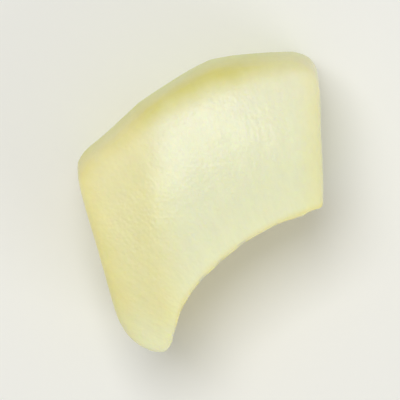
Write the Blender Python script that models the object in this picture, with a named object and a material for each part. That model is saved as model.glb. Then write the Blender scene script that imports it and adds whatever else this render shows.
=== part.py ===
"""A chunk of peeled galia melon, as a knife leaves it.

It comes from the ring of flesh at the melon's equator. The base and the top are two cuts across the
melon's axis. The long bowed side is the peeled outside, the hollow side faced the seeds, and the two ends
and the blunt tip are knife cuts. The block is worked out in shares of the melon: across from the left cut to
the right cut, out from the seed cavity to the peeled side, and up from the base to the top.
"""

import math

import bmesh
import bpy
from mathutils import Matrix, Vector

MM = 0.001

# The melon, seen along its axis from the top: its flesh is a ball, its seed cavity a longer, narrower egg,
# and both are widest at the equator, which lies this far over the chunk's base. A rib of the cavity's wall,
# where seeds hung, stands out at the chunk's tip, and the peeled side bulges where the peeler took least
FLESH_RADIUS = 50.7 * MM
FLESH_AXIS = Vector((18.7, -30.1)) * MM
EQUATOR = 6.0 * MM
CAVITY_RADIUS = 34.6 * MM
CAVITY_HALF_LENGTH = 42.6 * MM
CAVITY_AXIS = Vector((24.1, -32.0)) * MM
SEED_RIB = 3.0 * MM
PEEL_BULGE = 2.3 * MM
BULGE_SHARE = 0.6
BULGE_REACH = 0.38

# The knife cuts. An upright cut faces an angle from +X, at one distance from the middle at the base and
# at another at the top
THICKNESS = 21.0 * MM
LEFT_CUT = (math.radians(196.5), 14.0 * MM, 14.5 * MM)
RIGHT_CUT = (math.radians(1.6), 16.5 * MM, 16.3 * MM)
TIP_CUT = (math.radians(246.0), 19.0 * MM, 20.4 * MM)

# The top cut isn't quite level. It falls away to the left and right cuts and to the seed cavity, rounds over at
# the shoulder on the peeled side, and falls most at the corner between the peeled side and the right cut. Each
# reach is a share of the chunk, across it or out to the peeled side
LEFT_FALL = 1.9 * MM
LEFT_REACH = 0.28
RIGHT_FALL = 1.0 * MM
SHOULDER_FALL = 2.4 * MM
SHOULDER_REACH = 0.5
CAVITY_FALL = 0.8 * MM
CAVITY_REACH = 0.75
CORNER_FALL = 1.4 * MM
CORNER_REACH = (0.4, 0.55)

# The block is divided like this before it is smoothed, and the tip takes the first column
COLUMNS = 6
ROWS = 4
LAYERS = 3
SMOOTHING_LEVELS = 2
TIP_SHARE = 1 / COLUMNS

# How crisp each edge stays when the block is smoothed: 0 is round and 1 is sharp. The shoulder is the top's
# edge along the peeled side, and the heel is the corner between the cavity and the right cut
BASE_CREASE = 1.0
CAVITY_EDGE_CREASE = 0.85
END_EDGE_CREASE = 0.5
SHOULDER_CREASE = 0.3
LEFT_CORNER_CREASE = 0.3
HEEL_CREASE = 0.6
CRISP = 0.8

FLESH_COLOUR = (0.79, 0.80, 0.50, 1.0)
FLESH_ROUGHNESS = 0.38

TINY = 1e-6


def clear_scene():
    for old in list(bpy.data.objects):
        bpy.data.objects.remove(old, do_unlink=True)


def mix(start, end, share):
    return start + (end - start) * share


def fall(distance, reach):
    """1 at no distance, falling evenly to 0 at the reach."""
    return max(0.0, 1 - distance / reach)


def radius_at(equator_radius, half_length, height):
    """Radius of a ball or egg of the melon, at a height over the base."""
    rise = (height - EQUATOR) / half_length
    return equator_radius * math.sqrt(1 - rise * rise)


def cut_line(cut, height):
    """The outward direction of an upright cut, and its distance from the middle at a height."""
    angle, at_base, at_top = cut
    return Vector((math.cos(angle), math.sin(angle))), mix(at_base, at_top, height / THICKNESS)


def angle_at_cut(axis, radius, cut, height, turn):
    """The angle round an axis where a circle of the melon meets a cut, on the side that turn gives."""
    outward, distance = cut_line(cut, height)
    reach = (distance - outward.dot(axis)) / radius
    return math.atan2(outward.y, outward.x) % math.tau + turn * math.acos(reach)


def point_round(axis, radius, angle):
    return axis + Vector((math.cos(angle), math.sin(angle))) * radius


def cuts_meet(cut_a, cut_b, height):
    """The point where two upright cuts cross."""
    out_a, distance_a = cut_line(cut_a, height)
    out_b, distance_b = cut_line(cut_b, height)
    along_a = Vector((-out_a.y, out_a.x))
    return out_a * distance_a + along_a * ((distance_b - out_a.dot(out_b) * distance_a) / along_a.dot(out_b))


def peeled_point(across, height):
    """A point of the peeled outside, a share of the way from the left cut to the right cut."""
    radius = radius_at(FLESH_RADIUS, FLESH_RADIUS, height)
    left = angle_at_cut(FLESH_AXIS, radius, LEFT_CUT, height, -1)
    right = angle_at_cut(FLESH_AXIS, radius, RIGHT_CUT, height, 1) % math.tau
    bulge = PEEL_BULGE * fall(abs(across - BULGE_SHARE), BULGE_REACH)
    return point_round(FLESH_AXIS, radius + bulge, mix(left, right, across))


def cavity_point(across, height):
    """A point of the inner side: along the tip's end first, and then along the wall of the seed cavity."""
    radius = radius_at(CAVITY_RADIUS, CAVITY_HALF_LENGTH, height)
    tip = angle_at_cut(CAVITY_AXIS, radius - SEED_RIB, TIP_CUT, height, -1)
    right = angle_at_cut(CAVITY_AXIS, radius, RIGHT_CUT, height, 1) % math.tau
    if across < TIP_SHARE:
        corner = cuts_meet(LEFT_CUT, TIP_CUT, height)
        rib = point_round(CAVITY_AXIS, radius - SEED_RIB, tip)
        return corner.lerp(rib, across / TIP_SHARE)
    along = (across - TIP_SHARE) / (1 - TIP_SHARE)
    rib_left = fall(along, 1 / (COLUMNS - 1))
    return point_round(CAVITY_AXIS, radius - SEED_RIB * rib_left, mix(tip, right, along))


def top_drop(across, outward):
    """How far the top cut lies under its highest level at a place."""
    left = LEFT_FALL * fall(across, LEFT_REACH)
    right = RIGHT_FALL * fall(1 - across, 1 / COLUMNS)
    shoulder = SHOULDER_FALL * fall(1 - outward, SHOULDER_REACH) ** 2
    cavity = CAVITY_FALL * fall(outward, CAVITY_REACH)
    corner = CORNER_FALL * fall(1 - across, CORNER_REACH[0]) * fall(1 - outward, CORNER_REACH[1])
    return left + right + shoulder + cavity + corner


def chunk_point(across, outward, up):
    """The place in the chunk of three shares: across it, out to the peeled side, and up."""
    height = up * THICKNESS
    flat = cavity_point(across, height).lerp(peeled_point(across, height), outward)
    return Vector((flat.x, flat.y, height - up * top_drop(across, outward)))


def divided_block():
    """A cube from 0 to 1 each way, divided into the block's columns, rows and layers."""
    block = bmesh.new()
    bmesh.ops.create_cube(block, size=1.0, matrix=Matrix.Translation((0.5, 0.5, 0.5)))
    for axis, parts in enumerate((COLUMNS, ROWS, LAYERS)):
        along = [edge for edge in block.edges if abs(edge.verts[0].co[axis] - edge.verts[1].co[axis]) > TINY]
        bmesh.ops.subdivide_edges(block, edges=along, cuts=parts - 1, use_grid_fill=True)
    return block


def edge_crease(edge):
    """How crisp an edge of the block stays, from the sides of the block that it lies on."""
    first, second = (vert.co for vert in edge.verts)
    on_side = [[abs(first[axis] - end) < TINY and abs(second[axis] - end) < TINY for end in (0, 1)]
               for axis in range(3)]
    (left, right), (cavity, peeled), (base, top) = on_side
    if base and (left or right or cavity or peeled):
        return BASE_CREASE
    if cavity and top:
        return CAVITY_EDGE_CREASE
    if top and (left or right):
        return END_EDGE_CREASE
    if top and peeled:
        return SHOULDER_CREASE
    if left and peeled:
        return LEFT_CORNER_CREASE
    if right and cavity:
        return HEEL_CREASE
    return 0.0


def flesh_material():
    flesh = bpy.data.materials.new("melon_flesh")
    flesh.use_nodes = True
    shader = flesh.node_tree.nodes["Principled BSDF"]
    shader.inputs["Base Color"].default_value = FLESH_COLOUR
    shader.inputs["Roughness"].default_value = FLESH_ROUGHNESS
    shader.inputs["Metallic"].default_value = 0.0
    return flesh


def middle_of(mesh, axis):
    places = [vert.co[axis] for vert in mesh.vertices]
    return mix(min(places), max(places), 0.5)


def centre_over_origin(chunk):
    """Move the mesh so that the smoothed chunk's box stands on the origin, centred on X and Y."""
    bpy.context.view_layer.update()
    smoothed = chunk.evaluated_get(bpy.context.evaluated_depsgraph_get()).data
    off_centre = Vector((middle_of(smoothed, 0), middle_of(smoothed, 1), 0.0))
    chunk.data.transform(Matrix.Translation(-off_centre))


def melon_chunk():
    block = divided_block()
    crease = block.edges.layers.float.new("crease_edge")
    for edge in block.edges:
        edge[crease] = edge_crease(edge)
        edge.smooth = edge[crease] < CRISP
    for vert in block.verts:
        vert.co = chunk_point(*vert.co)
    bmesh.ops.recalc_face_normals(block, faces=block.faces)
    for face in block.faces:
        face.smooth = True
    mesh = bpy.data.meshes.new("melon_chunk")
    block.to_mesh(mesh)
    block.free()
    mesh.materials.append(flesh_material())
    chunk = bpy.data.objects.new("melon_chunk", mesh)
    bpy.context.scene.collection.objects.link(chunk)
    smoothing = chunk.modifiers.new("smoothing", "SUBSURF")
    smoothing.levels = SMOOTHING_LEVELS
    smoothing.render_levels = SMOOTHING_LEVELS
    centre_over_origin(chunk)


clear_scene()
melon_chunk()
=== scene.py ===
"""Dresses the galia melon chunk: its moist, translucent flesh, and a plain studio seen from straight above.

The chunk is modelled again, finer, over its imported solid. A cube is divided, bent to the shape of a piece of
a melon's flesh ring, smoothed, and given the marks of the knife, the peeler and the seed cavity.
"""

import math

import bmesh
import bpy
from mathutils import Matrix, Vector, noise


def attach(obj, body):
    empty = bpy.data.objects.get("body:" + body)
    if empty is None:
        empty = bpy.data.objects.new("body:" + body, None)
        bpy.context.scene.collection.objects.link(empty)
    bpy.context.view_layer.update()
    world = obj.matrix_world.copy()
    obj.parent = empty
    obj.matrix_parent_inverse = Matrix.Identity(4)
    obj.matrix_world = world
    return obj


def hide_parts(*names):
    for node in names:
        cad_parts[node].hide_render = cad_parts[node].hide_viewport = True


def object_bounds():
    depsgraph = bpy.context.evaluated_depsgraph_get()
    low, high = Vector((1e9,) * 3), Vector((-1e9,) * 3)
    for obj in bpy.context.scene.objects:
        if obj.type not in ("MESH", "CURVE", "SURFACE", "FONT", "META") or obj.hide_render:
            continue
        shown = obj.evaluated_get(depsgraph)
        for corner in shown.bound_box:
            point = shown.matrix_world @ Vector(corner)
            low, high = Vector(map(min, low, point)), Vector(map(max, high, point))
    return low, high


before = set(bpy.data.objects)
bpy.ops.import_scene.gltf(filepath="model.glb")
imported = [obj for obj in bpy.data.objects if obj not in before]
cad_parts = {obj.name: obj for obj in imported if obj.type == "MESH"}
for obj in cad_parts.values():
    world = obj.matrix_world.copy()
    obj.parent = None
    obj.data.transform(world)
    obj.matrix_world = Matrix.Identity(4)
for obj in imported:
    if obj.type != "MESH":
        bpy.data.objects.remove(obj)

bl_info = {
    "name": "Galia Melon Chunk",
    "version": (1, 0, 0),
    "blender": (4, 5, 0),
    "location": "View3D > Sidebar > Melon",
    "description": "Models a knife-cut chunk of peeled galia melon and a pale studio for it",
    "category": "Object",
}

MM = 0.001
TINY = 1e-6
NODE = "melon_chunk"
CAD_BOX = [list(corner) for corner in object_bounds()]

# The block is divided into columns, rows and layers before it is bent, and the tip takes its first column.
# The bulge of the peeled side and each fall of the top reach over a share of the chunk
THICKNESS = 21.0 * MM
COLUMNS = 6
ROWS = 4
LAYERS = 3
SMOOTHING_LEVELS = 4
TIP_SHARE = 1 / COLUMNS
BULGE_SHARE = 0.6
BULGE_REACH = 0.38
LEFT_REACH = 0.28
SHOULDER_REACH = 0.5
CAVITY_REACH = 0.75
CORNER_REACH = (0.4, 0.55)

# The block's rims that stay crisp, as pairs of sides, each an axis and an end, with how crisp each is
LEFT, RIGHT, CAVITY, PEELED, BASE, TOP = (0, 0), (0, 1), (1, 0), (1, 1), (2, 0), (2, 1)
RIM_CREASES = (
    (BASE, LEFT, 0.6), (BASE, RIGHT, 0.6), (BASE, CAVITY, 0.6), (BASE, PEELED, 0.6),
    (TOP, CAVITY, 0.58), (TOP, LEFT, 0.42), (TOP, RIGHT, 0.42), (TOP, PEELED, 0.3),
    (LEFT, PEELED, 0.3), (RIGHT, CAVITY, 0.6),
)

# Slow waves in the skin, broad ones and fine ones, and where in the noise the fine ones start
WAVE_SIZE = 9.0 * MM
FINE_WAVE_SIZE = 3.5 * MM
FINE_WAVE_SHARE = 0.35
FINE_WAVE_START = Vector((5, 2, 9))

# Lines in the skin, as how far each runs, how wide it is and the seed of its noise. A share is how deep they
# are beside the fine knife lines or the furrows
FINE_KNIFE_LINES = (14.0 * MM, 1.3 * MM, 3.1)
BROAD_KNIFE_LINES = (22.0 * MM, 3.2 * MM, 8.7)
BROAD_KNIFE_SHARE = 0.6
PEELER_LINES = (5.0 * MM, 0.9 * MM, 5.3)
PEELER_LINES_SHARE = 0.5
FURROW_LINES = (16.0 * MM, 5.5 * MM, 1.7)
FIBRE_LINES = (7.0 * MM, 1.4 * MM, 6.1)
FIBRE_LINES_SHARE = 0.25

# The knife's path over the top, and how far it leans on an upright cut
KNIFE_PATH = (0.85, 0.53)
KNIFE_LEAN = 0.25

# How far the edge between two of the peeler's strokes wanders, over what distance round and up, how high it
# is on average, and from what height the flesh there is greener
STROKE_WANDER = 1.2 * MM
WANDER_ROUND = 12.0 * MM
WANDER_UP = 15.0 * MM
MEAN_EDGE = 0.33
GREENER_EDGE = 0.35

# How far apart the seeds sat, round the cavity's wall and up it, which slice of the pattern of seeds is used,
# and the shares of such a gap at which a seed's hollow is full and at which it ends. The hollows and furrows
# grow in over a share of the chunk past the tip
SEED_GAP_ROUND = 5.0 * MM
SEED_GAP_UP = 8.5 * MM
SEED_START = 0.4
HOLLOW_FULL = 0.1
HOLLOW_END = 0.55
PAST_TIP = 0.1

# The marks fade out towards each rim, over a share of the chunk, and towards the base, which stays flat
RIM_SHARE = 0.08
BASE_CLEAR = 1.5 * MM

# Sizes of the flesh's patterns: in millimetres round the melon, out from its axis and along it, or else one
# size every way. The mottling is drawn out upwards. A rise is how high a pattern stands in the sheen
STRAND_SIZE = (2.0, 9.0, 14.0)
FIBRE_SIZE = (0.9, 1.8, 7.0)
VEIN_SIZE = (3.6, 8.0, 9.5)
PATCH_SIZE = 9.0 * MM
MOTTLE_SIZE = 5.0 * MM
MOTTLE_RISE = 0.35
CELL_SIZE = 0.55 * MM
STRAND_RISE = 0.05 * MM
FIBRE_RISE = 0.035 * MM
CELL_RISE = 0.04 * MM

# How the colour goes inwards: the rind's gold, partly the flesh's own colour and partly painted shade that
# darkens the shoulder towards its outer edge, starts this far outside the peeled side, the colour stops
# changing at this depth in millimetres, and the mottling moves it by this many millimetres
RIND_OFF = 0.7 * MM
INNER_DEPTH = 12.0
DEPTH_STIR = 0.35

# How far the colours of the cavity's wall and of the peeled side reach in, where the wall's starts and is
# full past the tip, how far up both go and where they are full, all as shares of the chunk, and how much of
# them the seed hollows take as painted shade and the edges between strokes take as greener flesh
WALL_SHARE = 0.06
WALL_PAST_TIP = (-0.08, 0.16)
PEELED_SHARE = 0.92
UNDER_TOP = 0.97
VEINS_FULL = 0.75
GREEN_FULL = 0.4
HOLLOW_PAINTED_SHADE = 0.28
STROKE_TINT = 0.15

# Where the yellower flesh towards the left cut starts and where it is full, painted shade where the top's
# sheen falls off, how the way to the tip leans out and up, where on that way the tint ends and what is left of
# it there, and the yellower band by the left and right cuts, painted golden shade
PAINTED_LIGHT_BAND = (1.6 * MM, 8.0 * MM)
TIP_LEAN = (0.8, 0.6)
TIP_BAND = (23.5 * MM, 27.0 * MM)
TIP_TINT = 0.25
END_SHARE = 0.11
END_TINT = 0.7

# Flesh is mostly water with sugar in it, and so is its juice
FLESH_IOR = 1.36
JUICE_IOR = 1.34

# The studio: a round floor just under the base, and two soft lights with where each is and its two sides
FLOOR_RADIUS = 1.5
FLOOR_DROP = 0.02 * MM
OVERHEAD_PLACE = (-0.1, 0.16, 0.55)
OVERHEAD_SIDES = (0.32, 0.28)
SIDE_PLACE = (0.3, -0.24, 0.2)
SIDE_SIDES = (0.26, 0.2)
LIGHTS_AIM = Vector((0, 0, 0.01))


def linear(hex_colour):
    """A colour written as sRGB hex, such as "#e8ecc8", as linear red, green, blue and alpha."""
    shares = [int(hex_colour[at:at + 2], 16) / 255 for at in (1, 3, 5)]
    return [*(s / 12.92 if s <= 0.04045 else ((s + 0.055) / 1.055) ** 2.4 for s in shares), 1.0]


def length(name, description, millimetres):
    return bpy.props.FloatProperty(name=name, description=description, default=millimetres * MM,
                                   unit="LENGTH", precision=5)


def angle(name, description, degrees):
    return bpy.props.FloatProperty(name=name, description=description, default=math.radians(degrees),
                                   subtype="ANGLE")


def share(name, description, default):
    return bpy.props.FloatProperty(name=name, description=description, default=default, min=0.0, max=1.0,
                                   subtype="FACTOR")


def colour(name, description, hex_colour):
    return bpy.props.FloatVectorProperty(name=name, description=description, default=linear(hex_colour),
                                         size=4, min=0.0, max=1.0, subtype="COLOR")


class ChunkShape(bpy.types.PropertyGroup):
    """The melon that the chunk was cut from, and the cuts."""
    flesh_radius: length("Flesh radius", "Radius of the peeled melon", 50.7)
    flesh_x: length("Melon axis X", "The melon's axis from the middle of the chunk", 18.7)
    flesh_y: length("Melon axis Y", "The melon's axis from the middle of the chunk", -30.1)
    equator: length("Equator", "Height of the melon's equator over the base", 6.0)
    cavity_radius: length("Cavity radius", "Radius of the seed cavity at the equator", 34.6)
    cavity_half: length("Cavity half length", "Half the seed cavity's length along the axis", 42.6)
    cavity_x: length("Cavity axis X", "The cavity's axis from the middle of the chunk", 24.1)
    cavity_y: length("Cavity axis Y", "The cavity's axis from the middle of the chunk", -32.0)
    seed_rib: length("Seed rib", "How far the rib at the tip stands into the cavity", 3.0)
    peel_bulge: length("Peel bulge", "How far the peeled side bulges where the peeler took least", 2.3)
    left_angle: angle("Left cut", "Where the left cut faces, from +X", 196.5)
    left_base: length("Left cut at base", "Its distance from the middle", 14.0)
    left_top: length("Left cut at top", "Its distance from the middle", 14.5)
    right_angle: angle("Right cut", "Where the right cut faces, from +X", 1.6)
    right_base: length("Right cut at base", "Its distance from the middle", 16.5)
    right_top: length("Right cut at top", "Its distance from the middle", 16.3)
    tip_angle: angle("Tip cut", "Where the tip cut faces, from +X", 246.0)
    tip_base: length("Tip cut at base", "Its distance from the middle", 19.0)
    tip_top: length("Tip cut at top", "Its distance from the middle", 20.4)
    left_fall: length("Left fall", "How far the top falls away to the left cut", 1.9)
    right_fall: length("Right fall", "How far the top falls away to the right cut", 1.0)
    shoulder_fall: length("Shoulder fall", "How far the top rounds over along the peeled side", 2.4)
    cavity_fall: length("Cavity fall", "How far the top falls away to the seed cavity", 0.8)
    corner_fall: length("Corner fall", "How far the top falls away to the corner of the peeled side", 1.4)


class ChunkFinish(bpy.types.PropertyGroup):
    """Colours of the flesh, from the peeled side in to the seed cavity, and its marks, some with painted shade
    in them.
    """
    # The gold of the peeled side and of the flesh just under it is partly its own colour and partly painted
    # shade
    peeled: colour("Peeled side", "Golden green flesh that lay under the rind", "#d6cf74")
    under_rind: colour("Under the rind", "Flesh about a millimetre in", "#e4e0a0")
    pale: colour("Palest", "Flesh two or three millimetres in", "#f2f2d8")
    middle: colour("Middle", "Flesh in the middle of the ring", "#ecedcd")
    inner: colour("Inner", "Flesh near the seed cavity", "#e9ebc9")
    cavity: colour("Cavity side", "Flesh that faced the seeds", "#e8e0a6")
    peeled_green: colour("Peeled green", "Fresh green of the peeled side below the shoulder", "#d3da85")
    # The seed hollows also take the veins' darker colour, as painted shade
    cavity_vein: colour("Cavity veins", "Strands and hollows in the cavity's wall", "#dece88")
    # Painted light: this tint is painted shade towards the left cut, out of the top's sheen, and by both cuts
    painted_light_tint: colour("Shadier end", "What tints the flesh towards the left cut", "#fff9e0")
    painted_light_angle: angle("Shadier end faces", "Where the flesh gets riper, from +X", 190.0)
    scatter: length("Scatter", "How far light spreads in the flesh", 4.0)
    wave_depth: length("Waves", "Depth of the slow waves in every side", 0.15)
    knife_depth: length("Knife marks", "Depth of the knife's fine marks", 0.016)
    stroke_width: length("Peeler strokes", "Width of one stroke of the peeler", 10.5)
    stroke_depth: length("Stroke depth", "Height of the edges between strokes", 0.2)
    furrow_depth: length("Cavity furrows", "Depth of the furrows in the seed cavity's wall", 0.6)
    hollow_depth: length("Seed hollows", "Depth of the hollows that the seeds left", 0.45)


class StudioSettings(bpy.types.PropertyGroup):
    """The floor, the light and the camera."""
    floor: colour("Floor", "Pale, matt floor", "#f2f2ef")
    key_power: bpy.props.FloatProperty(name="Key light", description="Power of the soft light overhead",
                                       default=1.6, unit="POWER")
    side_power: bpy.props.FloatProperty(name="Side light", description="Power of the low light at one side",
                                        default=0.35, unit="POWER")
    surroundings: colour("Surroundings", "Colour of the pale surroundings", "#fbfaf4")
    fill: share("Fill", "Strength of the pale surroundings", 0.465)
    view_width: length("View width", "Width of what the camera sees", 52.0)
    lens: bpy.props.FloatProperty(name="Lens", description="Focal length of the camera", default=300.0,
                                  unit="CAMERA")


def mix(start, end, part):
    return start + (end - start) * part


def smooth_step(low, high, value):
    """0 below low, 1 above high, and a smooth rise between."""
    part = min(1.0, max(0.0, (value - low) / (high - low)))
    return part * part * (3 - 2 * part)


def fall(distance, reach):
    """1 at no distance, falling evenly to 0 at the reach."""
    return max(0.0, 1 - distance / reach)


def direction(turn):
    return Vector((math.cos(turn), math.sin(turn)))


def deselect_everything():
    if bpy.context.object and bpy.context.object.mode != "OBJECT":
        bpy.ops.object.mode_set(mode="OBJECT")
    bpy.ops.object.select_all(action="DESELECT")


def apply_modifier(piece, name, kind, **settings):
    modifier = piece.modifiers.new(name, kind)
    for key, value in settings.items():
        setattr(modifier, key, value)
    bpy.ops.object.modifier_apply(modifier=name)


class Melon:
    """Turns shares of the chunk into places: across from the left cut to the right cut, out from the seed
    cavity to the peeled side, and up from the base to the top."""

    def __init__(self, shape):
        self.shape = shape
        self.flesh_axis = Vector((shape.flesh_x, shape.flesh_y))
        self.cavity_axis = Vector((shape.cavity_x, shape.cavity_y))
        self.left = (shape.left_angle, shape.left_base, shape.left_top)
        self.right = (shape.right_angle, shape.right_base, shape.right_top)
        self.tip = (shape.tip_angle, shape.tip_base, shape.tip_top)

    def cut_line(self, cut, height):
        """The outward direction of an upright cut, and its distance from the middle at a height."""
        turn, at_base, at_top = cut
        return direction(turn), mix(at_base, at_top, height / THICKNESS)

    def angle_at_cut(self, axis, radius, cut, height, side):
        """The angle round an axis where a circle of the melon meets a cut, on one side or the other."""
        outward, distance = self.cut_line(cut, height)
        reach = (distance - outward.dot(axis)) / radius
        return (cut[0] + side * math.acos(reach)) % math.tau

    def cuts_meet(self, cut_a, cut_b, height):
        """The point where two upright cuts cross."""
        out_a, distance_a = self.cut_line(cut_a, height)
        out_b, distance_b = self.cut_line(cut_b, height)
        along = Vector((-out_a.y, out_a.x))
        return out_a * distance_a + along * ((distance_b - out_a.dot(out_b) * distance_a) / along.dot(out_b))

    def peeled_point(self, across, height):
        """A point of the peeled side, a share of the way from the left cut to the right cut."""
        radius = math.sqrt(self.shape.flesh_radius ** 2 - (height - self.shape.equator) ** 2)
        left = self.angle_at_cut(self.flesh_axis, radius, self.left, height, -1)
        right = self.angle_at_cut(self.flesh_axis, radius, self.right, height, 1)
        bulge = self.shape.peel_bulge * fall(abs(across - BULGE_SHARE), BULGE_REACH)
        return self.flesh_axis + direction(mix(left, right, across)) * (radius + bulge)

    def bulge_around(self):
        """How far round the melon its peeled side bulges most, from +X."""
        bulge = self.peeled_point(BULGE_SHARE, self.shape.equator) - self.flesh_axis
        return math.atan2(bulge.y, bulge.x) * self.shape.flesh_radius

    def cavity_point(self, across, height):
        """A point of the inner side: along the tip's end first, and then along the seed cavity's wall."""
        rise = (height - self.shape.equator) / self.shape.cavity_half
        radius = self.shape.cavity_radius * math.sqrt(1 - rise ** 2)
        rib = radius - self.shape.seed_rib
        tip = self.angle_at_cut(self.cavity_axis, rib, self.tip, height, -1)
        right = self.angle_at_cut(self.cavity_axis, radius, self.right, height, 1)
        if across < TIP_SHARE:
            corner = self.cuts_meet(self.left, self.tip, height)
            return corner.lerp(self.cavity_axis + direction(tip) * rib, across / TIP_SHARE)
        along = (across - TIP_SHARE) / (1 - TIP_SHARE)
        rib_left = fall(along, 1 / (COLUMNS - 1))
        return self.cavity_axis + direction(mix(tip, right, along)) * mix(radius, rib, rib_left)

    def top_drop(self, across, outward):
        """How far the top cut lies under its highest level at a place."""
        left = self.shape.left_fall * fall(across, LEFT_REACH)
        right = self.shape.right_fall * fall(1 - across, 1 / COLUMNS)
        shoulder = self.shape.shoulder_fall * fall(1 - outward, SHOULDER_REACH) ** 2
        cavity = self.shape.cavity_fall * fall(outward, CAVITY_REACH)
        corner_across, corner_outward = CORNER_REACH
        corner = self.shape.corner_fall * fall(1 - across, corner_across) * fall(1 - outward, corner_outward)
        return left + right + shoulder + cavity + corner

    def place(self, across, outward, up):
        """The place in the chunk of three shares."""
        height = up * THICKNESS
        flat = self.cavity_point(across, height).lerp(self.peeled_point(across, height), outward)
        return Vector((flat.x, flat.y, height - up * self.top_drop(across, outward)))


def along_axis(edge, axis):
    return abs(edge.verts[0].co[axis] - edge.verts[1].co[axis]) > TINY


def on_side(edge, side):
    axis, end = side
    return all(abs(vert.co[axis] - end) < TINY for vert in edge.verts)


def select_edges(piece, wanted):
    """Select, in edit mode, the edges that pass a test."""
    bpy.ops.mesh.select_all(action="DESELECT")
    work = bmesh.from_edit_mesh(piece.data)
    for edge in work.edges:
        if wanted(edge):
            edge.select_set(True)
    bmesh.update_edit_mesh(piece.data)


def divided_block():
    """A cube from 0 to 1 each way, in columns, rows and layers, with its rims creased."""
    deselect_everything()
    bpy.ops.mesh.primitive_cube_add(size=1.0, location=(0.5, 0.5, 0.5))
    block = bpy.context.object
    bpy.ops.object.transform_apply(location=True, rotation=True, scale=True)
    bpy.ops.object.mode_set(mode="EDIT")
    bpy.ops.mesh.select_mode(type="EDGE")
    for axis, parts in enumerate((COLUMNS, ROWS, LAYERS)):
        select_edges(block, lambda edge: along_axis(edge, axis))
        bpy.ops.mesh.subdivide(number_cuts=parts - 1)
    for one, other, crease in RIM_CREASES:
        select_edges(block, lambda edge: on_side(edge, one) and on_side(edge, other))
        bpy.ops.transform.edge_crease(value=crease)
    bpy.ops.object.mode_set(mode="OBJECT")
    return block


def bend_to_melon(block, melon):
    """Move the block's points into the melon, and keep their shares of it on the mesh."""
    shares = block.data.attributes.new("shares", "FLOAT_VECTOR", "POINT")
    for vert, kept in zip(block.data.vertices, shares.data):
        kept.vector = vert.co
        vert.co = melon.place(*vert.co)
    bpy.ops.object.mode_set(mode="EDIT")
    bpy.ops.mesh.select_all(action="SELECT")
    bpy.ops.mesh.normals_make_consistent(inside=False)
    bpy.ops.object.mode_set(mode="OBJECT")


def centre_on_frame(block):
    """Move the block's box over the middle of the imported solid's box, and give the move."""
    places = [vert.co for vert in block.data.vertices]
    low, high = (Vector(pick(place[axis] for place in places) for axis in range(3)) for pick in (min, max))
    frame_low, frame_high = (Vector(corner) for corner in CAD_BOX)
    move = (frame_low + frame_high - low - high) / 2
    move.z = 0.0
    block.data.transform(Matrix.Translation(move))
    return move


def streaks(along, across, lines):
    """Noise from -1 to 1, drawn out into lines."""
    run, width, seed = lines
    return noise.noise(Vector((along / run, across / width, seed)))


def knife_marks(place, upright, depth):
    """The fine lines that a blade leaves, along its path."""
    forward, sideways = KNIFE_PATH
    along = place.x * forward + place.y * sideways
    over = place.y * forward - place.x * sideways
    if upright:
        along, over = over + place.x, place.z + KNIFE_LEAN * along
    broad = BROAD_KNIFE_SHARE * streaks(along, over, BROAD_KNIFE_LINES)
    return depth * (streaks(along, over, FINE_KNIFE_LINES) + broad)


def peeler_strokes(around, bulge_around, place, finish):
    """Shallow flats side by side on the peeled side, with a low edge between two strokes. Gives the height of
    the skin there and how near it is to such an edge, from 0 to 1."""
    wander = STROKE_WANDER * noise.noise(Vector((0.0, around / WANDER_ROUND, place.z / WANDER_UP)))
    part = ((around - bulge_around + wander) / finish.stroke_width) % 1.0 - 0.5
    chatter = PEELER_LINES_SHARE * finish.knife_depth * streaks(around, place.z, PEELER_LINES)
    edge = 4 * part * part
    return finish.stroke_depth * (edge - MEAN_EDGE) + chatter, smooth_step(GREENER_EDGE, 1.0, edge)


def cavity_furrows(around, place, finish):
    """Soft furrows down the wall of the seed cavity, fine fibres, and long hollows that the seeds left. Gives
    the height of the skin there and how deep it is in a hollow, from 0 to 1."""
    broad = streaks(place.z, around, FURROW_LINES)
    fine = FIBRE_LINES_SHARE * streaks(place.z, around, FIBRE_LINES)
    nearest = noise.voronoi(Vector((around / SEED_GAP_ROUND, place.z / SEED_GAP_UP, SEED_START)))[0][0]
    hollow = 1 - smooth_step(HOLLOW_FULL, HOLLOW_END, nearest)
    return finish.furrow_depth * (broad + fine) - finish.hollow_depth * hollow, hollow


def relief(place, shares, melon, finish):
    """Height of the marks over the smooth chunk at a point of its skin, and how strongly that point is marked
    by the peeler or the seeds, from 0 to 1."""
    across, outward, up = shares
    fine_waves = noise.noise(place / FINE_WAVE_SIZE + FINE_WAVE_START)
    height = finish.wave_depth * (noise.noise(place / WAVE_SIZE) + FINE_WAVE_SHARE * fine_waves)
    from_rim = min(spare for spare in (across, 1 - across, outward, 1 - outward, up, 1 - up) if spare > TINY)
    inside = smooth_step(0.0, RIM_SHARE, from_rim)
    from_axis = place.xy - melon.flesh_axis
    around = math.atan2(from_axis.y, from_axis.x) * melon.shape.flesh_radius
    added, mark = 0.0, 0.0
    if outward > 1 - TINY:
        added, mark = peeler_strokes(around, melon.bulge_around(), place, finish)
    elif outward < TINY and across > TIP_SHARE:
        inside *= smooth_step(TIP_SHARE, TIP_SHARE + PAST_TIP, across)
        added, mark = cavity_furrows(around, place, finish)
    elif up > TINY:
        added = knife_marks(place, up < 1 - TINY, finish.knife_depth)
    return (height + inside * added) * smooth_step(0.0, BASE_CLEAR, place.z), inside * mark


def carve_marks(block, melon, finish):
    """Raise and sink the skin of the block by its marks, and keep on the mesh how strong they are."""
    block.data.attributes.new("marks", "FLOAT", "POINT")
    kept = block.data.attributes["shares"].data
    marks = block.data.attributes["marks"].data
    normals = [vert.normal.copy() for vert in block.data.vertices]
    for vert, normal, shares, mark in zip(block.data.vertices, normals, kept, marks):
        height, mark.value = relief(vert.co, shares.vector, melon, finish)
        vert.co += normal * height


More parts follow.
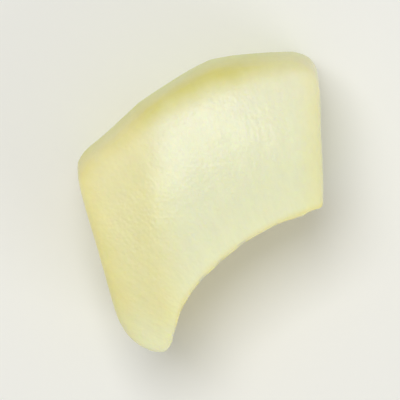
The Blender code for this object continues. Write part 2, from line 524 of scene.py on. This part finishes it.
def add_node(tree, kind, settings=None, inputs=None):
    """Add a node, set its settings, and give its inputs a value or the socket that feeds them."""
    node = tree.nodes.new(kind)
    for name, value in (settings or {}).items():
        setattr(node, name, value)
    for name, value in (inputs or {}).items():
        if isinstance(value, bpy.types.NodeSocket):
            tree.links.new(value, node.inputs[name])
        else:
            node.inputs[name].default_value = value
    return node


def set_ramp(ramp_node, stops):
    ramp = ramp_node.color_ramp
    while len(ramp.elements) < len(stops):
        ramp.elements.new(0.5)
    for element, (position, stop_colour) in zip(ramp.elements, stops):
        element.position = position
        element.color = stop_colour


def new_material(name):
    material = bpy.data.materials.new(name)
    material.use_nodes = True
    material.node_tree.nodes.clear()
    return material, material.node_tree


def per_metre(sizes):
    """What a place in metres is multiplied by, to give a pattern these sizes in millimetres."""
    return tuple(1 / (size * MM) for size in sizes)


def flesh_patterns(tree, coords, from_axis, radius):
    """The patterns of melon flesh. Strands that feed it run out from the seed cavity and along the melon,
    with finer fibres between them. Single cells are about 0.2 mm across, too fine to show, and are drawn
    coarser."""
    plan = add_node(tree, "ShaderNodeSeparateXYZ", inputs={0: from_axis}).outputs
    turn = add_node(tree, "ShaderNodeMath", {"operation": "ARCTAN2"}, {0: plan["Y"], 1: plan["X"]})
    flat = add_node(tree, "ShaderNodeCombineXYZ", inputs={"X": plan["X"], "Y": plan["Y"]})
    reach = add_node(tree, "ShaderNodeVectorMath", {"operation": "LENGTH"}, {0: flat.outputs[0]})
    around = add_node(tree, "ShaderNodeMath", {"operation": "MULTIPLY"}, {0: turn.outputs[0], 1: radius})
    melon_place = add_node(tree, "ShaderNodeCombineXYZ", inputs={
        "X": around.outputs[0], "Y": reach.outputs["Value"], "Z": plan["Z"]})
    drawn_up = add_node(tree, "ShaderNodeMapping", {}, {"Vector": coords, "Scale": (1.0, 1.0, MOTTLE_RISE)})
    patterns = {}
    for name, sizes, detail, roughness, distortion in (("strands", STRAND_SIZE, 2.0, 0.5, 0.0),
                                                       ("fibres", FIBRE_SIZE, 3.0, 0.6, 0.0),
                                                       ("veins", VEIN_SIZE, 3.0, 0.55, 0.5)):
        scaled = add_node(tree, "ShaderNodeVectorMath", {"operation": "MULTIPLY"}, {
            0: melon_place.outputs[0], 1: per_metre(sizes)})
        patterns[name] = add_node(tree, "ShaderNodeTexNoise", {}, {
            "Vector": scaled.outputs[0], "Scale": 1.0, "Detail": detail, "Roughness": roughness,
            "Distortion": distortion}).outputs["Fac"]
    for name, place, size, detail, roughness in (("patches", coords, PATCH_SIZE, 1.5, 0.5),
                                                 ("mottle", drawn_up.outputs[0], MOTTLE_SIZE, 2.0, 0.55)):
        patterns[name] = add_node(tree, "ShaderNodeTexNoise", {}, {
            "Vector": place, "Scale": 1 / size, "Detail": detail, "Roughness": roughness}).outputs["Fac"]
    patterns["cells"] = add_node(tree, "ShaderNodeTexVoronoi", {"feature": "SMOOTH_F1"}, {
        "Vector": coords, "Scale": 1 / CELL_SIZE, "Smoothness": 0.6}).outputs["Distance"]
    return patterns


def colour_by_depth(tree, from_axis, patterns, shape, finish):
    """The colour by how deep the flesh lay under the rind, moved to and fro a little by the mottling. The gold
    of the outermost millimetres is partly the flesh's own colour and partly painted shade along the shoulder.
    """
    stir = add_node(tree, "ShaderNodeMapRange", {}, {
        "Value": patterns["mottle"], "From Min": 0.25, "From Max": 0.75,
        "To Min": -DEPTH_STIR, "To Max": DEPTH_STIR})
    from_centre = add_node(tree, "ShaderNodeVectorMath", {"operation": "LENGTH"}, {0: from_axis})
    rind_reach = shape.flesh_radius + RIND_OFF
    under_rind = add_node(tree, "ShaderNodeMapRange", {"clamp": False}, {
        "Value": from_centre.outputs["Value"], "From Min": rind_reach, "From Max": rind_reach - MM,
        "To Min": 0.0, "To Max": 1.0})
    depth = add_node(tree, "ShaderNodeMath", {"operation": "ADD"}, {
        0: under_rind.outputs[0], 1: stir.outputs[0]})
    depth_share = add_node(tree, "ShaderNodeMapRange", {}, {
        "Value": depth.outputs[0], "From Min": 0.0, "From Max": INNER_DEPTH})
    rind_side = add_node(tree, "ShaderNodeValToRGB", {}, {"Fac": depth_share.outputs[0]})
    set_ramp(rind_side, ((0.0, finish.peeled), (0.1, finish.under_rind), (0.25, finish.pale),
                         (0.5, finish.middle), (1.0, finish.inner)))
    rind_side.color_ramp.interpolation = "B_SPLINE"
    return rind_side.outputs["Color"]


def add_cavity_wall(tree, colour_so_far, share_parts, marks, patterns, finish):
    """The wall that faced the seeds: a warmer yellow, with darker veins below the top, and the same darker
    colour in the seed hollows as painted shade.
    """
    by_wall = add_node(tree, "ShaderNodeMapRange", {"interpolation_type": "SMOOTHSTEP"}, {
        "Value": share_parts["Y"], "From Min": WALL_SHARE, "From Max": 0.0})
    past_tip = add_node(tree, "ShaderNodeMapRange", {"interpolation_type": "SMOOTHSTEP"}, {
        "Value": share_parts["X"], "From Min": TIP_SHARE + WALL_PAST_TIP[0],
        "From Max": TIP_SHARE + WALL_PAST_TIP[1]})
    near_seeds = add_node(tree, "ShaderNodeMath", {"operation": "MULTIPLY"}, {
        0: by_wall.outputs[0], 1: past_tip.outputs[0]})
    wall = add_node(tree, "ShaderNodeMix", {"data_type": "RGBA"}, {
        "Factor": near_seeds.outputs[0], 6: colour_so_far, 7: finish.cavity})
    below_top = add_node(tree, "ShaderNodeMapRange", {"interpolation_type": "SMOOTHSTEP"}, {
        "Value": share_parts["Z"], "From Min": UNDER_TOP, "From Max": VEINS_FULL})
    in_vein = add_node(tree, "ShaderNodeMapRange", {"interpolation_type": "SMOOTHSTEP"}, {
        "Value": patterns["veins"], "From Min": 0.36, "From Max": 0.74, "To Max": 0.4})
    # The seed hollows darken towards the veins' colour as painted shade
    vein_or_hollow = add_node(tree, "ShaderNodeMath", {"operation": "MULTIPLY_ADD", "use_clamp": True}, {
        0: marks, 1: HOLLOW_PAINTED_SHADE, 2: in_vein.outputs[0]})
    vein_share = add_node(tree, "ShaderNodeMath", {"operation": "MULTIPLY"}, {
        0: vein_or_hollow.outputs[0], 1: below_top.outputs[0]})
    on_wall = add_node(tree, "ShaderNodeMath", {"operation": "MULTIPLY"}, {
        0: near_seeds.outputs[0], 1: vein_share.outputs[0]})
    return add_node(tree, "ShaderNodeMix", {"data_type": "RGBA"}, {
        "Factor": on_wall.outputs[0], 6: wall.outputs[2], 7: finish.cavity_vein}).outputs[2]


def add_peeled_green(tree, colour_so_far, share_parts, marks, patterns, finish):
    """The peeled side keeps its gold at the shoulder, partly the flesh's own colour and partly painted shade,
    and is a fresher green below it, in soft patches, and greener still at the edges between the peeler's
    strokes, where more was left on."""
    just_peeled = add_node(tree, "ShaderNodeMapRange", {"interpolation_type": "SMOOTHSTEP"}, {
        "Value": share_parts["Y"], "From Min": PEELED_SHARE, "From Max": 1.0})
    # Above this the shoulder keeps its gold, which is partly painted shade
    below_shoulder = add_node(tree, "ShaderNodeMapRange", {"interpolation_type": "SMOOTHSTEP"}, {
        "Value": share_parts["Z"], "From Min": UNDER_TOP, "From Max": GREEN_FULL})
    peeled_side = add_node(tree, "ShaderNodeMath", {"operation": "MULTIPLY"}, {
        0: just_peeled.outputs[0], 1: below_shoulder.outputs[0]})
    in_patch = add_node(tree, "ShaderNodeMapRange", {"interpolation_type": "SMOOTHSTEP"}, {
        "Value": patterns["patches"], "From Min": 0.35, "From Max": 0.65, "To Min": 0.35, "To Max": 0.8})
    patch_or_edge = add_node(tree, "ShaderNodeMath", {"operation": "MULTIPLY_ADD", "use_clamp": True}, {
        0: marks, 1: STROKE_TINT, 2: in_patch.outputs[0]})
    green_share = add_node(tree, "ShaderNodeMath", {"operation": "MULTIPLY"}, {
        0: peeled_side.outputs[0], 1: patch_or_edge.outputs[0]})
    return add_node(tree, "ShaderNodeMix", {"data_type": "RGBA"}, {
        "Factor": green_share.outputs[0], 6: colour_so_far, 7: finish.peeled_green}).outputs[2]


def add_painted_light_tint(tree, colour_so_far, coords, share_parts, shape, finish):
    """The flesh is tinted yellower towards the left cut, but less so at the tip: painted shade where the top's
    sheen falls off, leaving the paler flesh to the right as painted sheen. The skin of the left and right cuts
    and a narrow band beside them are yellower too, as painted golden shade."""
    # Painted shade towards the left cut, where the top's sheen falls off
    to_shadier_end = add_node(tree, "ShaderNodeVectorMath", {"operation": "DOT_PRODUCT"}, {
        0: coords, 1: direction(finish.painted_light_angle).to_3d()})
    shadier = add_node(tree, "ShaderNodeMapRange", {"interpolation_type": "SMOOTHSTEP"}, {
        "Value": to_shadier_end.outputs["Value"], "From Min": PAINTED_LIGHT_BAND[0], "From Max": PAINTED_LIGHT_BAND[1]})
    out_to_tip, up_to_tip = TIP_LEAN
    towards_tip = Vector((*direction(shape.tip_angle) * out_to_tip, up_to_tip))
    to_tip = add_node(tree, "ShaderNodeVectorMath", {"operation": "DOT_PRODUCT"}, {0: coords, 1: towards_tip})
    short_of_tip = add_node(tree, "ShaderNodeMapRange", {"interpolation_type": "SMOOTHSTEP"}, {
        "Value": to_tip.outputs["Value"], "From Min": TIP_BAND[1], "From Max": TIP_BAND[0],
        "To Min": TIP_TINT})
    painted_light_share = add_node(tree, "ShaderNodeMath", {"operation": "MULTIPLY"}, {
        0: shadier.outputs[0], 1: short_of_tip.outputs[0]})
    light_painted = add_node(tree, "ShaderNodeMix", {"data_type": "RGBA", "blend_type": "MULTIPLY"}, {
        "Factor": painted_light_share.outputs[0], 6: colour_so_far, 7: finish.painted_light_tint})
    # The band by both cuts is painted golden shade
    to_end = add_node(tree, "ShaderNodeMath", {"operation": "PINGPONG"}, {0: share_parts["X"], 1: 0.5})
    by_end = add_node(tree, "ShaderNodeMapRange", {"interpolation_type": "SMOOTHSTEP"}, {
        "Value": to_end.outputs[0], "From Min": END_SHARE, "From Max": 0.0, "To Max": END_TINT})
    return add_node(tree, "ShaderNodeMix", {"data_type": "RGBA", "blend_type": "MULTIPLY"}, {
        "Factor": by_end.outputs[0], 6: light_painted.outputs[2], 7: finish.painted_light_tint}).outputs[2]


def add_strand_shade(tree, colour_so_far, patterns):
    """Strands are a trace darker than the flesh between them, and fibres go both ways."""
    strand_shade = add_node(tree, "ShaderNodeMapRange", {}, {
        "Value": patterns["strands"], "From Min": 0.3, "From Max": 0.7, "To Min": 1.0, "To Max": 0.98})
    fibre_shade = add_node(tree, "ShaderNodeMapRange", {}, {
        "Value": patterns["fibres"], "From Min": 0.3, "From Max": 0.7, "To Min": 0.985, "To Max": 1.015})
    shade = add_node(tree, "ShaderNodeMath", {"operation": "MULTIPLY"}, {
        0: strand_shade.outputs[0], 1: fibre_shade.outputs[0]})
    return add_node(tree, "ShaderNodeVectorMath", {"operation": "SCALE"}, {
        0: colour_so_far, "Scale": shade.outputs[0]}).outputs[0]


def flesh_material(melon, finish):
    """Peeled galia flesh, cut with a knife: watery cells that let light in a few millimetres, so that it
    glows and its shade turns golden, under a thin film of juice that gives it a soft sheen. Part of the golden
    shade on the shoulder, in the seed hollows and by the cuts is painted into the colour."""
    material, tree = new_material("peeled_galia_flesh")
    shape = melon.shape
    coords = add_node(tree, "ShaderNodeTexCoord").outputs["Object"]
    centre = (melon.flesh_axis.x, melon.flesh_axis.y, shape.equator)
    from_axis = add_node(tree, "ShaderNodeVectorMath", {"operation": "SUBTRACT"}, {
        0: coords, 1: centre}).outputs[0]
    shares = add_node(tree, "ShaderNodeAttribute", {"attribute_name": "shares"})
    share_parts = add_node(tree, "ShaderNodeSeparateXYZ", inputs={0: shares.outputs["Vector"]}).outputs
    marks = add_node(tree, "ShaderNodeAttribute", {"attribute_name": "marks"}).outputs["Fac"]
    patterns = flesh_patterns(tree, coords, from_axis, shape.flesh_radius)

    flesh_colour = colour_by_depth(tree, from_axis, patterns, shape, finish)
    flesh_colour = add_cavity_wall(tree, flesh_colour, share_parts, marks, patterns, finish)
    flesh_colour = add_peeled_green(tree, flesh_colour, share_parts, marks, patterns, finish)
    flesh_colour = add_painted_light_tint(tree, flesh_colour, coords, share_parts, shape, finish)
    flesh_colour = add_strand_shade(tree, flesh_colour, patterns)

    # The film of juice is smoother in some places than in others, and lies over strands, fibres and cells
    # that stand up a few hundredths of a millimetre
    moist = add_node(tree, "ShaderNodeMapRange", {}, {
        "Value": patterns["mottle"], "From Min": 0.3, "From Max": 0.7, "To Min": 0.34, "To Max": 0.46})
    strand_bump = add_node(tree, "ShaderNodeBump", {}, {
        "Strength": 1.0, "Distance": STRAND_RISE, "Height": patterns["strands"]})
    fibre_bump = add_node(tree, "ShaderNodeBump", {}, {
        "Strength": 1.0, "Distance": FIBRE_RISE, "Height": patterns["fibres"],
        "Normal": strand_bump.outputs["Normal"]})
    cell_bump = add_node(tree, "ShaderNodeBump", {}, {
        "Strength": 0.8, "Distance": CELL_RISE, "Height": patterns["cells"],
        "Normal": fibre_bump.outputs["Normal"]})
    shader = add_node(tree, "ShaderNodeBsdfPrincipled", {}, {
        "Base Color": flesh_colour, "Roughness": moist.outputs[0], "IOR": FLESH_IOR,
        "Normal": cell_bump.outputs["Normal"],
        "Subsurface Weight": 0.75, "Subsurface Radius": (1.0, 0.85, 0.35), "Subsurface Scale": finish.scatter,
        "Coat Weight": 0.4, "Coat Roughness": 0.17, "Coat IOR": JUICE_IOR,
        "Coat Normal": cell_bump.outputs["Normal"],
    })
    add_node(tree, "ShaderNodeOutputMaterial", {}, {"Surface": shader.outputs["BSDF"]})
    return material


class MELON_OT_chunk(bpy.types.Operator):
    """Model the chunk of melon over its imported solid, and give it its flesh"""
    bl_idname = "melon.chunk"
    bl_label = "Melon chunk"

    def execute(self, context):
        melon = Melon(context.scene.melon_shape)
        finish = context.scene.melon_finish
        chunk = divided_block()
        bend_to_melon(chunk, melon)
        apply_modifier(chunk, "smoothing", "SUBSURF", levels=SMOOTHING_LEVELS, render_levels=SMOOTHING_LEVELS)
        move = centre_on_frame(chunk).xy
        melon.flesh_axis += move
        melon.cavity_axis += move
        carve_marks(chunk, melon, finish)
        bpy.ops.object.shade_smooth()
        chunk.name = chunk.data.name = "melon_flesh_chunk"
        chunk.data.materials.append(flesh_material(melon, finish))
        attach(chunk, "root")
        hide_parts(NODE)
        return {"FINISHED"}


def floor_material(settings):
    """Painted studio board: matt and almost white, so that it throws soft light back up."""
    material, tree = new_material("pale_studio_board")
    shader = add_node(tree, "ShaderNodeBsdfPrincipled", {}, {
        "Base Color": settings.floor, "Roughness": 0.8, "IOR": 1.5,
    })
    add_node(tree, "ShaderNodeOutputMaterial", {}, {"Surface": shader.outputs["BSDF"]})
    return material


class MELON_OT_studio(bpy.types.Operator):
    """Set up the pale floor, the soft light and the camera straight overhead"""
    bl_idname = "melon.studio"
    bl_label = "Studio"

    def execute(self, context):
        settings = context.scene.melon_studio
        deselect_everything()
        bpy.ops.mesh.primitive_circle_add(vertices=96, radius=FLOOR_RADIUS, fill_type="NGON",
                                          location=(0, 0, -FLOOR_DROP))
        floor = context.object
        bpy.ops.object.transform_apply(location=True, rotation=True, scale=True)
        floor.name = floor.data.name = "studio_floor"
        floor.data.materials.append(floor_material(settings))

        for name, place, sides, power in (
                ("overhead_softbox", OVERHEAD_PLACE, OVERHEAD_SIDES, settings.key_power),
                ("side_softbox", SIDE_PLACE, SIDE_SIDES, settings.side_power)):
            bpy.ops.object.light_add(type="AREA", location=place)
            softbox = context.object
            softbox.name = softbox.data.name = name
            softbox.data.shape = "RECTANGLE"
            softbox.data.size, softbox.data.size_y = sides
            softbox.data.energy = power
            softbox.rotation_euler = (LIGHTS_AIM - softbox.location).to_track_quat("-Z", "Y").to_euler()

        world = bpy.data.worlds.new("pale_surroundings")
        world.use_nodes = True
        context.scene.world = world
        background = world.node_tree.nodes["Background"]
        background.inputs["Color"].default_value = settings.surroundings
        background.inputs["Strength"].default_value = settings.fill

        middle = sum((Vector(corner) for corner in CAD_BOX), Vector()) / 2
        bpy.ops.object.camera_add(rotation=(0, 0, 0))
        camera = context.object
        camera.name = camera.data.name = "overhead_camera"
        camera.data.lens = settings.lens
        away = settings.view_width * settings.lens / camera.data.sensor_width
        camera.location = (middle.x, middle.y, CAD_BOX[1][2] + away)
        camera.data.clip_start = 0.01
        context.scene.camera = camera
        context.scene.view_settings.view_transform = "Standard"
        return {"FINISHED"}


class MELON_PT_parts(bpy.types.Panel):
    """Lists the chunk's sizes, its flesh and its studio"""
    bl_idname = "MELON_PT_parts"
    bl_label = "Galia melon chunk"
    bl_space_type = "VIEW_3D"
    bl_region_type = "UI"
    bl_category = "Melon"

    def draw(self, context):
        for heading, group, operator in (
                ("Shape", context.scene.melon_shape, None),
                ("Flesh", context.scene.melon_finish, MELON_OT_chunk),
                ("Studio", context.scene.melon_studio, MELON_OT_studio)):
            box = self.layout.box()
            box.label(text=heading)
            for name in group.bl_rna.properties.keys():
                if name not in ("rna_type", "name"):
                    box.prop(group, name)
            if operator:
                box.operator(operator.bl_idname)


CLASSES = (ChunkShape, ChunkFinish, StudioSettings, MELON_OT_chunk, MELON_OT_studio, MELON_PT_parts)


def register():
    for cls in CLASSES:
        bpy.utils.register_class(cls)
    bpy.types.Scene.melon_shape = bpy.props.PointerProperty(type=ChunkShape)
    bpy.types.Scene.melon_finish = bpy.props.PointerProperty(type=ChunkFinish)
    bpy.types.Scene.melon_studio = bpy.props.PointerProperty(type=StudioSettings)


def unregister():
    del bpy.types.Scene.melon_studio
    del bpy.types.Scene.melon_finish
    del bpy.types.Scene.melon_shape
    for cls in reversed(CLASSES):
        bpy.utils.unregister_class(cls)


def main():
    register()
    bpy.ops.melon.chunk()
    bpy.ops.melon.studio()


if __name__ == "__main__":
    main()
